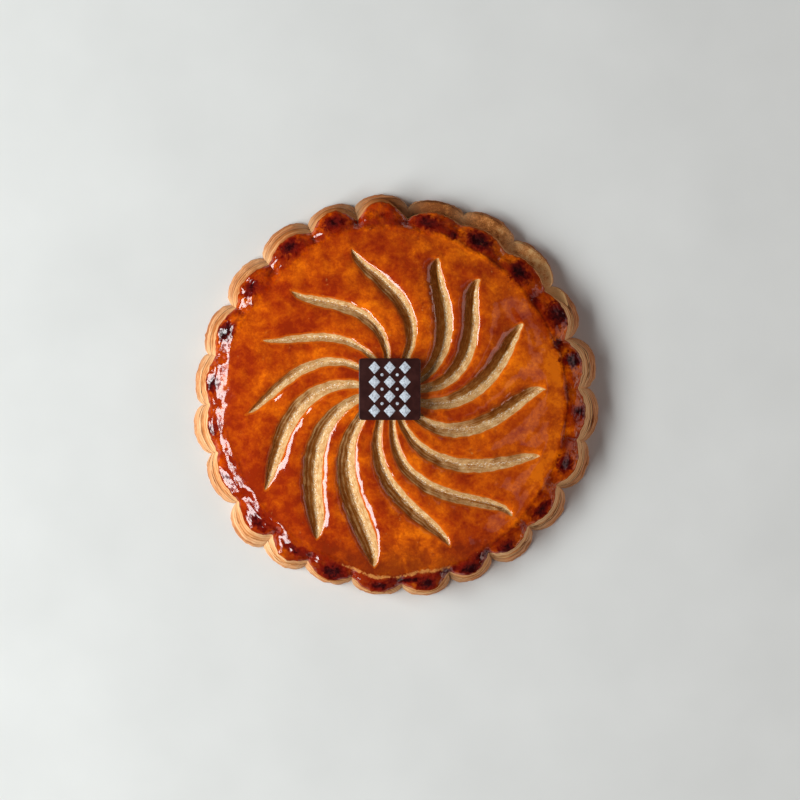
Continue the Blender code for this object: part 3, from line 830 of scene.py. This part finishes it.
# The lumps of the glazed surface: their size, their height on the dome and on the rim, and the
# seed of their pattern. The dome is calmer on the right, where the glaze lay thicker.
LUMPS = (
    (8.0 * MM, 0.12 * MM, 0.24 * MM, 51), (3.2 * MM, 0.045 * MM, 0.17 * MM, 52),
    (1.5 * MM, 0.018 * MM, 0.08 * MM, 53))
CALM_FROM = 20.0 * MM
CALM_BY = 60.0 * MM
CALMNESS = 0.6
RIM_CALMNESS = 0.5
SMOOTHNESS_IN_CUTS = 0.6
CUT_LIP_BLEND = 0.3 * MM
STREAK_WIDTH = 0.9 * MM
STREAK_LENGTH = 6.0
STREAK_HEIGHT = 0.045 * MM
STREAK_RADIUS = 90.0 * MM
PIT_DEPTH = 0.07 * MM
PIT_SIZE = 1.3 * MM
EDGE_RAGGED = 0.22 * MM
EDGE_SWELLS = (40, 220)
LEAN_STEP = 0.4 * MM
STEEPEST_LEAN = 1.5
RIM_FROM_CUTS = -5.0 * MM

# A torn ridge just inside the crease on the near side, whose pale tan is thin glaze and a
# painted highlight, and how far from the crease the browning of the crease and of the rim lies.
RIDGE_ANGLE = 269.0
RIDGE_REACH = 22.0
RIDGE_INSIDE = 0.9 * MM
RIDGE_WIDTH = 1.3 * MM
RIDGE_HEIGHT = 0.2 * MM
CREASED_AT = 0.3 * MM
CREASED_WIDTH = 2.6 * MM
CRACK_AT = -0.6 * MM
CRACK_WIDTH = 1.0 * MM
RIM_BROWN_FROM = -3.0 * MM
RIM_BROWN_BY = 4.0 * MM


def dome_points(ring, column):
    """The x and y of the points of the dome, whose columns follow the cuts to the crease."""
    share = DOME_FROM + (1.0 - DOME_FROM) * np.clip(ring - 1, 0, DOME_RINGS) / DOME_RINGS
    distance = share * CREASE_DISTANCES[column]
    swirl = dome_column_angle(column, distance)
    swirl += turn_between(swirl, CREASE_ANGLES[column]) * smooth(COLUMNS_TURN_FROM, 1.0, share)
    x, y = point_at(swirl, np.where(ring == 0, 0.0, distance))
    return HUB[0] + x, HUB[1] + y


def side_points(angle, edge, share, out):
    """The x and y of the points of the side: share runs from 0 at the edge to 1 at the foot."""
    seam = side_radius(angle, SEAM_SHARE, BARE_SEAM_SHARE)
    return point_at(angle, edge + (seam - edge) * share + out)


def glaze_relief(x, y, angle, inside, edge_share, beyond_crease):
    """The lumps, pits and brush streaks of the glaze, and how lively they are."""
    rim = smooth(-CREASE_BLEND, CREASE_BLEND, beyond_crease)
    lively = 1.0 - CALMNESS * smooth(CALM_FROM, CALM_BY, x) * (1.0 - RIM_CALMNESS * rim)
    free = smooth(FLAT_MIDDLE, FLAT_BLEND_END, np.hypot(x - HUB[0], y - HUB[1]))
    glazed = free * (1.0 - SMOOTHNESS_IN_CUTS * smooth(-CUT_LIP_BLEND, CUT_LIP_BLEND, inside))
    relief = np.zeros_like(x)
    for size, dome_lift, rim_lift, seed in LUMPS:
        relief += (dome_lift + (rim_lift - dome_lift) * rim) * glazed * rumple(x, y, size, seed)
    relief -= PIT_DEPTH * glazed * smooth(0.7, 1.6, rumple(x, y, PIT_SIZE, 54))
    around = np.radians(angle) * STREAK_RADIUS / STREAK_LENGTH
    streaks = rumple(np.hypot(x, y), around, STREAK_WIDTH, 55) * smooth(0.0, 0.25, edge_share)
    return (relief + STREAK_HEIGHT * streaks) * lively, lively


def make_top_pastry():
    """The mesh of the glazed top: dome, rim of pillows, layered side and flat underside."""
    first_edge = 1 + DOME_RINGS
    first_side = first_edge + EDGE_RINGS
    mesh, ring, column = turned_disc("glazed_top_pastry", first_side + SIDE_RINGS + 1)
    angle = RIM_ANGLES[column]
    edge = edge_radius(angle) + EDGE_RAGGED * uneven(RIM_ANGLES, 8, *EDGE_SWELLS)[column]
    crease = crease_radius(angle)
    on_dome = ring < first_edge
    on_side = ring >= first_side
    edge_share = np.clip((ring - first_edge) / (EDGE_RINGS - 1), 0.0, 1.0)
    side_share = np.clip((ring - first_side + 1) / SIDE_RINGS, 0.0, 1.0)
    out, up, groove = layered_side(side_share, column, 500)
    rim_points = point_at(angle, crease + edge_share * (edge - crease))
    x, y = np.where(on_side, side_points(angle, edge, side_share, out), rim_points)
    x, y = np.where(on_dome, dome_points(ring, column), (x, y))

    height, inside, cut_place = dome_surface(x, y)
    higher, _, _ = dome_surface(x + LEAN_STEP, y)
    lean = np.clip((higher - height) / LEAN_STEP, -STEEPEST_LEAN, STEEPEST_LEAN)
    inside = np.where(on_dome, inside, RIM_FROM_CUTS)
    height = np.where(on_dome, height, rim_height(angle, edge_share))
    turn, radius = bearing(x, y)
    beyond_crease = radius - crease_radius(turn)
    relief, lively = glaze_relief(x, y, angle, inside, edge_share, beyond_crease)
    height += relief

    underside = SHEET_TOP + GAP
    side_top = rim_height(angle, 1.0)
    side_height = side_top + (underside - side_top) * side_share
    side_height += up * smooth(0.0, 0.15, side_share) * smooth(1.0, 0.85, side_share)
    height = np.where(on_side, side_height, height)
    last = ring == first_side + SIDE_RINGS
    x, y = np.where(last, 0.0, (x, y))
    height = np.where(last, underside, height)

    ridge = nearness(beyond_crease + RIDGE_INSIDE, RIDGE_WIDTH)
    ridge *= smooth(RIDGE_REACH, 0.7 * RIDGE_REACH, np.abs(turn_between(RIDGE_ANGLE, turn)))
    height += RIDGE_HEIGHT * ridge
    crack = nearness(beyond_crease - CRACK_AT, CRACK_WIDTH)
    marks = {
        "down": side_share * (side_top - underside) / MM,
        "groove": np.where(on_side, groove, 0.0),
        "notch": notched(angle),
        "glazed": 1.0 - smooth(0.0, 0.08, side_share),
        "seam": smooth(0.70, 0.95, side_share),
        "inside": np.clip(inside / MM, -6.0, 6.0),
        "cut_place": cut_place[:, :3],
        "deep": cut_place[:, 3],
        "lean": np.where(on_dome, lean, 0.0),
        "burnt": burnt(x, y) * (~on_side),
        "creased": nearness(beyond_crease - CREASED_AT, CREASED_WIDTH),
        "crack": crease_depth(turn) / CREASE_DEPTH * crack,
        "rim": smooth(RIM_BROWN_FROM, RIM_BROWN_BY, beyond_crease),
        "edge": smooth(0.92, 1.0, edge_share),
        "ridge_glaze_and_highlight": ridge,
        "lively": lively,
    }
    return mesh, (x, y, height), marks


GLOSS = {"Coat Roughness": 0.07, "Coat IOR": 1.6, "Specular IOR Level": 0.0}
CLOUD_SIZE = 24.0 * MM
PATCH_SIZE = 7.0 * MM
SMUDGE_SIZE = 5.0 * MM
BLOT_SIZE = 3.0 * MM
TUFT_SIZE = 2.6 * MM
SPECK_SIZE = 1.4 * MM
BLISTER_SIZE = 0.75 * MM
FINE_CRUMB_SIZE = 0.42 * MM
GLAZE_WAVE_SIZE = 2.0 * MM
FIBRE_WIDTH = 0.5
FIBRE_SHARE = 0.16
SHRED_SHARE = 0.6
GLAZE_RELIEF = 0.16 * MM

GLAZE_TONES = (
    (0.39, 156, 40, 1), (0.45, 178, 57, 1), (0.51, 198, 76, 1),
    (0.57, 226, 98, 2), (0.63, 255, 124, 4))
NEAR_MARGIN_BROWN = tint(104, 44, 8)
RIM_RED = tint(134, 26, 4)
CRACK_RED = tint(92, 12, 6)
SINGED_RED = tint(116, 18, 6)
BURNT_BLACK = tint(44, 6, 9)
FLESH_TONES = (
    (0.36, 168, 108, 54), (0.46, 202, 148, 90), (0.55, 222, 178, 122), (0.66, 244, 216, 170))
# Painted shade: the tones of cut walls that face away from the window light.
PAINTED_SHADE_WALL_TONES = ((0.34, 112, 50, 4), (0.46, 144, 74, 12), (0.62, 184, 120, 50))
# A cream for the pale shreds, partly painted sparkle.
SHRED_AND_SPARKLE_CREAM = tint(255, 246, 226)
LIP_AMBER = tint(224, 106, 10)
# Painted shade for the glaze at the lip of a lee wall.
LIP_PAINTED_SHADE = tint(140, 66, 16)
# Thin glaze and a painted highlight on the near ridge.
RIDGE_TAN_AND_HIGHLIGHT = tint(226, 150, 78)
EDGE_BROWN = tint(150, 66, 16)


def mottled_glaze(finish, place, specks):
    """The colour of the glaze: amber to red-brown in clouds, and more brown on the near side.

    It is also painted darker to the left and lighter to the right, as painted shade and light
    that even out the window light from the left.
    """
    x, y, _ = finish.parts(place)
    clouds = finish.grain(place, CLOUD_SIZE)
    patches = finish.grain(place, PATCH_SIZE, detail=4.0, roughness=0.6, distortion=0.3)
    # Painted shade to the left and painted light to the right, against the window light from the
    # left; more brown towards the near and far sides.
    darker_with_painted_side_light = y * -0.4 - x * 1.5 + y * y * 8.0
    tone = clouds * 0.40 + patches * 0.45 + specks * 0.15 - darker_with_painted_side_light * 0.35
    # Brown along the near margin.
    near_margin = finish.above(y + (patches - 0.5) * 0.03, -0.066, -0.088)
    return finish.blend(near_margin * 0.5, finish.ramp(tone, GLAZE_TONES), NEAR_MARGIN_BROWN)


def browned(finish, y, righter, glaze, smudges, specks, blots):
    """The glaze, redder on the rim and in the crease, and burnt in the dents."""
    rim, burns = finish.mark("rim"), finish.mark("burnt")
    reddened = rim * 0.45 + (smudges - 0.5) * 2.4 - righter * rim * 0.1
    reddened += finish.mark("creased") * (y * y * 40.0 + 0.45)
    glaze = finish.blend(finish.above(reddened, 0.15, 1.0) * 0.85, glaze, RIM_RED)
    crack = finish.mark("crack") + (smudges - 0.5) * 1.6
    glaze = finish.blend(finish.above(crack, 0.45, 1.4) * 0.85, glaze, CRACK_RED)
    scorch = burns + (blots - 0.5) * 1.3 + (specks - 0.5) * 0.4
    near_burns = finish.above(rim + (smudges - 0.5) * 0.4 + burns * 1.5, 0.0, 0.25)
    glaze = finish.blend(finish.above(scorch, 0.16, 0.58) * near_burns, glaze, SINGED_RED)
    return finish.blend(finish.above(scorch, 0.45, 1.0), glaze, BURNT_BLACK)


def opened_flesh(finish, spot, fibres, crumbs, tufts, lee):
    """The dry pastry in a cut: cream with pale shreds, and brown on the wall turned away.

    The brown is painted shade, as that wall faces away from the window light, and the shreds
    are partly painted sparkle on the lit wall.
    """
    deep = finish.mark("deep")
    flesh = finish.ramp(fibres * 0.40 + crumbs * 0.25 + tufts * 0.35, FLESH_TONES)
    # The lee wall gets its own darker tones as painted shade, darkest at its lip.
    wall = fibres * 0.35 + crumbs * 0.15 + tufts * 0.25 + deep * 0.25
    flesh = finish.blend(lee * 0.9, flesh, finish.ramp(wall, PAINTED_SHADE_WALL_TONES))
    # Pale shreds, partly flaky grains of the pastry and partly a painted highlight: sparkles that
    # stay off the lee wall.
    across, along, number = spot
    shreds = finish.grain(
        finish.vector(across, along * SHRED_SHARE, number), FIBRE_WIDTH, roughness=0.6)
    shreds = finish.above(shreds + deep * 0.22, 0.72, 0.84)
    lit_shreds_and_sparkles = shreds * finish.above(finish.mark("inside"), 0.4, 1.2) * (1.0 - lee)
    return finish.blend(lit_shreds_and_sparkles * 0.85, flesh, SHRED_AND_SPARKLE_CREAM)


def glazed_pastry():
    """Glossy egg glaze with dry cream cuts, over a side of dry layers."""
    finish = Finish("glazed_pastry", GLOSS)
    place = finish.place()
    x, y, _ = finish.parts(place)
    righter = finish.above(x, 0.02, 0.09)
    specks = finish.grain(place, SPECK_SIZE, detail=3.0, roughness=0.55)
    smudges = finish.grain(place, SMUDGE_SIZE, detail=3.0, roughness=0.55)
    blots = finish.grain(place, BLOT_SIZE, detail=3.0, roughness=0.6, distortion=0.6)
    glaze = mottled_glaze(finish, place, specks)
    glaze = browned(finish, y, righter, glaze, smudges, specks, blots)

    inside = finish.mark("inside")
    spot = finish.parts(finish.mark("cut_place", output=1))
    stretched = finish.vector(spot[0], spot[1] * FIBRE_SHARE, spot[2])
    fibres = finish.grain(stretched, FIBRE_WIDTH, detail=3.0, roughness=0.6)
    crumbs = finish.grain(place, FINE_CRUMB_SIZE, roughness=0.6)
    tufts = finish.grain(place, TUFT_SIZE, detail=3.0, roughness=0.6)
    # Cut walls that face away from the window light: painted shade goes on them and on the glaze
    # at their lips.
    lee = finish.above(finish.mark("lean"), -0.12, -0.6)
    flesh = opened_flesh(finish, spot, fibres, crumbs, tufts, lee)
    ragged = inside + (specks - 0.5) * 0.4
    glaze = finish.blend(finish.above(ragged, -0.95, -0.25) * 0.65, glaze, LIP_AMBER)
    # Painted shade on the glaze just outside a lee wall, striped with the lines of the layers.
    drawn = finish.maths("SINE", inside * 7.0 + tufts * 6.0) * 0.5 + 0.5
    shaded = finish.above(inside, -2.6, -0.2) * lee * (drawn * 0.4 + 0.35)
    glaze = finish.blend(shaded, glaze, LIP_PAINTED_SHADE)
    opened = finish.above(ragged, 0.0, 0.45)
    top = finish.blend(opened, glaze, flesh)

    edge = finish.mark("edge")
    # The near ridge: pale where its glaze is thin, with a painted highlight along it.
    ridge_glaze_and_highlight = finish.mark("ridge_glaze_and_highlight") + (specks - 0.5) * 1.5 + (smudges - 0.5) * 2.0
    top = finish.blend(finish.above(ridge_glaze_and_highlight, 0.45, 0.95) * 0.7, top, RIDGE_TAN_AND_HIGHLIGHT)
    browned_edge = finish.above(edge + (specks - 0.5) * 0.3, 0.35, 0.75)
    top = finish.blend(browned_edge * 0.8, top, EDGE_BROWN)
    # The sides, lighter on the right, partly as painted light.
    sides, lines = layer_colour(finish, place, 0.12)
    skinned = finish.above(finish.mark("glazed") + (specks - 0.5) * 0.3, 0.35, 0.65)

    creased = finish.mark("creased")
    near_rim = finish.above(finish.mark("rim") + creased * 0.8, 0.03, 0.40)
    dull = finish.above(blots * 0.5 + specks * 0.5, 0.49, 0.55) * 0.85
    dull = finish.maths("MAXIMUM", dull, righter * (creased * 0.6 + 0.4))
    wet = skinned * (1.0 - opened)
    shine = wet * (1.0 - finish.above(edge, 0.3, 0.8)) * (1.0 - near_rim * dull)
    finish.feed(finish.shader.inputs["Coat Weight"], shine)
    finish.coat(
        finish.blend(skinned, sides, top), 0.62 - shine * 0.24 + (crumbs - 0.5) * 0.2)

    blisters = finish.grain(place, BLISTER_SIZE, detail=3.0, roughness=0.6)
    waves = finish.grain(place, GLAZE_WAVE_SIZE)
    wavy = near_rim * (3.0 - righter * 2.2) + finish.above(inside, -4.0, -1.0) * 1.2
    height = (blisters * finish.mark("lively") + waves * wavy) * wet
    height += (fibres + crumbs) * opened + lines * (1.0 - skinned) * 1.8
    finish.relief(height, GLAZE_RELIEF)
    return finish


top_pastry = baked_piece(*make_top_pastry(), glazed_pastry())
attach(top_pastry, "root")
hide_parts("top_pastry")

# ---- Chocolate plaque ----
# A thin square of dark chocolate, cast in a mould and laid on the middle of the glazed top
# while the syrup was still wet.

PLAQUE_CORNER = 1.6 * MM
PLAQUE_CORNER_SEGMENTS = 8
PLAQUE_BEVEL = 0.4 * MM
PLAQUE_BEVEL_SEGMENTS = 4
PRINT_RISE = 0.07 * MM
SHARP_ANGLE = math.radians(40.0)


def edges_above(form, height):
    """The edges of a bmesh that lie above a height."""
    return [edge for edge in form.edges if all(vert.co.z > height for vert in edge.verts)]


def round_off(form, edges, width, segments):
    """Rounds off the edges of a bmesh."""
    bmesh.ops.bevel(
        form, geom=edges, offset=width, segments=segments, profile=0.5, affect="EDGES",
        material=-1)


def make_plaque():
    """The mesh of the plaque: soft upright corners and a soft upper edge."""
    form = bmesh.new()
    low, high = plaque_low, plaque_high - Vector((0.0, 0.0, PRINT_RISE))
    box = bmesh.ops.create_cube(form, size=1.0)["verts"]
    bmesh.ops.scale(form, verts=box, vec=high - low)
    bmesh.ops.translate(form, verts=box, vec=0.5 * (low + high))
    upright = [edge for edge in form.edges if abs(edge.verts[0].co.z - edge.verts[1].co.z) > MM]
    round_off(form, upright, PLAQUE_CORNER, PLAQUE_CORNER_SEGMENTS)
    round_off(form, edges_above(form, high.z - MM), PLAQUE_BEVEL, PLAQUE_BEVEL_SEGMENTS)
    bmesh.ops.recalc_face_normals(form, faces=form.faces)
    return mesh_from(form, "dark_chocolate_plaque")


BLOOM_SIZE = 5.0 * MM
DUST_SIZE = 0.4 * MM
CHOCOLATE_RELIEF = 0.06 * MM
CHOCOLATE_TONES = ((0.35, 44, 16, 14), (0.55, 56, 22, 18), (0.75, 72, 32, 26))


def dark_chocolate():
    """Tempered dark chocolate: satin, with a faint bloom and fine casting marks."""
    finish = Finish("dark_chocolate", {"Specular IOR Level": 0.4})
    place = finish.place()
    bloom = finish.grain(place, BLOOM_SIZE, detail=4.0, roughness=0.6)
    dust = finish.grain(place, DUST_SIZE)
    finish.coat(finish.ramp(bloom * 0.8 + dust * 0.2, CHOCOLATE_TONES), bloom * 0.25 + 0.22)
    finish.relief(bloom * 0.6 + dust * 0.4, CHOCOLATE_RELIEF)
    return finish


plaque = piece_of(make_plaque(), dark_chocolate())
plaque.data.set_sharp_from_angle(angle=SHARP_ANGLE)
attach(plaque, "root")
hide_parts("chocolate_plaque")

# ---- Print on the plaque ----
# A plain ornament of lozenges with a dot between each four, in pale cocoa butter. It is a thin
# film, printed on the mould and taken off with the chocolate.

LOZENGE_ROWS = 4
LOZENGES_PER_ROW = 3
LOZENGE_WIDTH = 5.6 * MM
LOZENGE_HEIGHT = 6.2 * MM
LOZENGE_STEP = (7.4 * MM, 7.0 * MM)
DOT_RADIUS = 0.75 * MM
DOT_CORNERS = 20
PRINT_THICKNESS = 0.10 * MM
PRINT_BEVEL = 0.04 * MM


def ornament_grid(rows, columns):
    """The places of a grid of marks round the middle of the plaque."""
    for row in range(rows):
        for column in range(columns):
            across = (column - 0.5 * (columns - 1)) * LOZENGE_STEP[0]
            yield across, (row - 0.5 * (rows - 1)) * LOZENGE_STEP[1]


def make_ornament():
    """The mesh of the print: rows of lozenges, and dots between them."""
    form = bmesh.new()
    middle = 0.5 * (plaque_low + plaque_high)
    marks = [
        (spot, 4, 0.5 * LOZENGE_WIDTH, 0.5 * LOZENGE_HEIGHT)
        for spot in ornament_grid(LOZENGE_ROWS, LOZENGES_PER_ROW)]
    marks += [
        (spot, DOT_CORNERS, DOT_RADIUS, DOT_RADIUS)
        for spot in ornament_grid(LOZENGE_ROWS - 1, LOZENGES_PER_ROW - 1)]
    for (across, up), corners, half_width, half_height in marks:
        made = bmesh.ops.create_cone(
            form, cap_ends=True, cap_tris=False, segments=corners, radius1=1.0, radius2=1.0,
            depth=PRINT_THICKNESS)["verts"]
        bmesh.ops.scale(form, verts=made, vec=(half_width, half_height, 1.0))
        lift = plaque_high.z - 0.5 * PRINT_THICKNESS
        bmesh.ops.translate(form, verts=made, vec=(middle.x + across, middle.y + up, lift))
    round_off(form, edges_above(form, plaque_high.z - 0.1 * PRINT_THICKNESS), PRINT_BEVEL, 2)
    bmesh.ops.recalc_face_normals(form, faces=form.faces)
    return mesh_from(form, "cocoa_butter_ornament")


FILM_GRAIN = 0.8 * MM
FILM_TONES = ((0.30, 150, 150, 160), (0.50, 205, 212, 222), (0.7, 226, 232, 240))


def cocoa_butter():
    """White cocoa butter print, a little greyer where it lies thin."""
    finish = Finish("cocoa_butter", {"Specular IOR Level": 0.4})
    film = finish.grain(finish.place(), FILM_GRAIN, detail=3.0)
    finish.coat(finish.ramp(film, FILM_TONES), film * 0.2 + 0.35)
    return finish


ornament = piece_of(make_ornament(), cocoa_butter())
ornament.data.set_sharp_from_angle(angle=SHARP_ANGLE)
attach(ornament, "root")

# ---- Floor, light and camera ----
# A plain pale table top, a wide soft window light low on the left, weak warm cards opposite
# that show faintly in the glaze, and a camera that looks straight down.

FLOOR_SIDE = 3.0
FLOOR_MIST = 60.0 * MM
FLOOR_TONES = ((0.3, 226, 225, 222), (0.7, 232, 231, 228))
CAMERA_HEIGHT = 1.15
VIEW_WIDTH = 0.400
CAMERA_OFFSET = (2.0 * MM, -2.5 * MM)
SENSOR = 36.0
LIGHT_DISTANCE = 1.8
WORLD_STRENGTH = 0.06

# Every light: its name, azimuth, elevation, width and height, power and colour.
LIGHTS = (
    ("window_light", 190.0, 34.0, 2.05, 0.7, 55.0, (0.93, 0.98, 0.99)),
    ("low_card", -3.0, 28.0, 1.6, 0.6, 3.6, (1.0, 0.80, 0.80)),
    ("side_card", -3.0, 9.0, 3.0, 0.3, 6.0, (1.0, 0.88, 0.80)),
    ("high_card", -6.0, 62.0, 1.5, 0.22, 0.34, (1.0, 0.90, 0.86)),
)


def make_floor():
    """The table top."""
    form = bmesh.new()
    bmesh.ops.create_grid(form, x_segments=1, y_segments=1, size=0.5 * FLOOR_SIDE)
    finish = Finish("pale_table", {"Specular IOR Level": 0.2})
    mist = finish.grain(finish.place(), FLOOR_MIST, detail=3.0)
    finish.coat(finish.ramp(mist, FLOOR_TONES), 0.85)
    return piece_of(mesh_from(form, "table_top"), finish)


def add_light(name, azimuth, elevation, width, height, power, colour):
    """A soft rectangular light that faces the middle of the table."""
    light = bpy.data.lights.new(name, "AREA")
    light.shape = "RECTANGLE"
    light.size, light.size_y = width, height
    light.energy = power
    light.color = colour
    holder = bpy.data.objects.new(name, light)
    turn, rise = math.radians(azimuth), math.radians(elevation)
    holder.location = LIGHT_DISTANCE * Vector(
        (math.cos(rise) * math.cos(turn), math.cos(rise) * math.sin(turn), math.sin(rise)))
    holder.rotation_euler = (-holder.location).to_track_quat("-Z", "Y").to_euler()
    scene.collection.objects.link(holder)


scene = bpy.context.scene
make_floor()
for row in LIGHTS:
    add_light(*row)

world = bpy.data.worlds.new("studio")
world.use_nodes = True
background = world.node_tree.nodes["Background"]
background.inputs["Color"].default_value = (1.0, 1.0, 1.0, 1.0)
background.inputs["Strength"].default_value = WORLD_STRENGTH
scene.world = world
scene.view_settings.view_transform = "Standard"

camera_data = bpy.data.cameras.new("camera")
camera_data.sensor_width = SENSOR
camera_data.lens = SENSOR * CAMERA_HEIGHT / VIEW_WIDTH
camera = bpy.data.objects.new("camera", camera_data)
camera.location = (*CAMERA_OFFSET, CAMERA_HEIGHT)
scene.collection.objects.link(camera)
scene.camera = camera
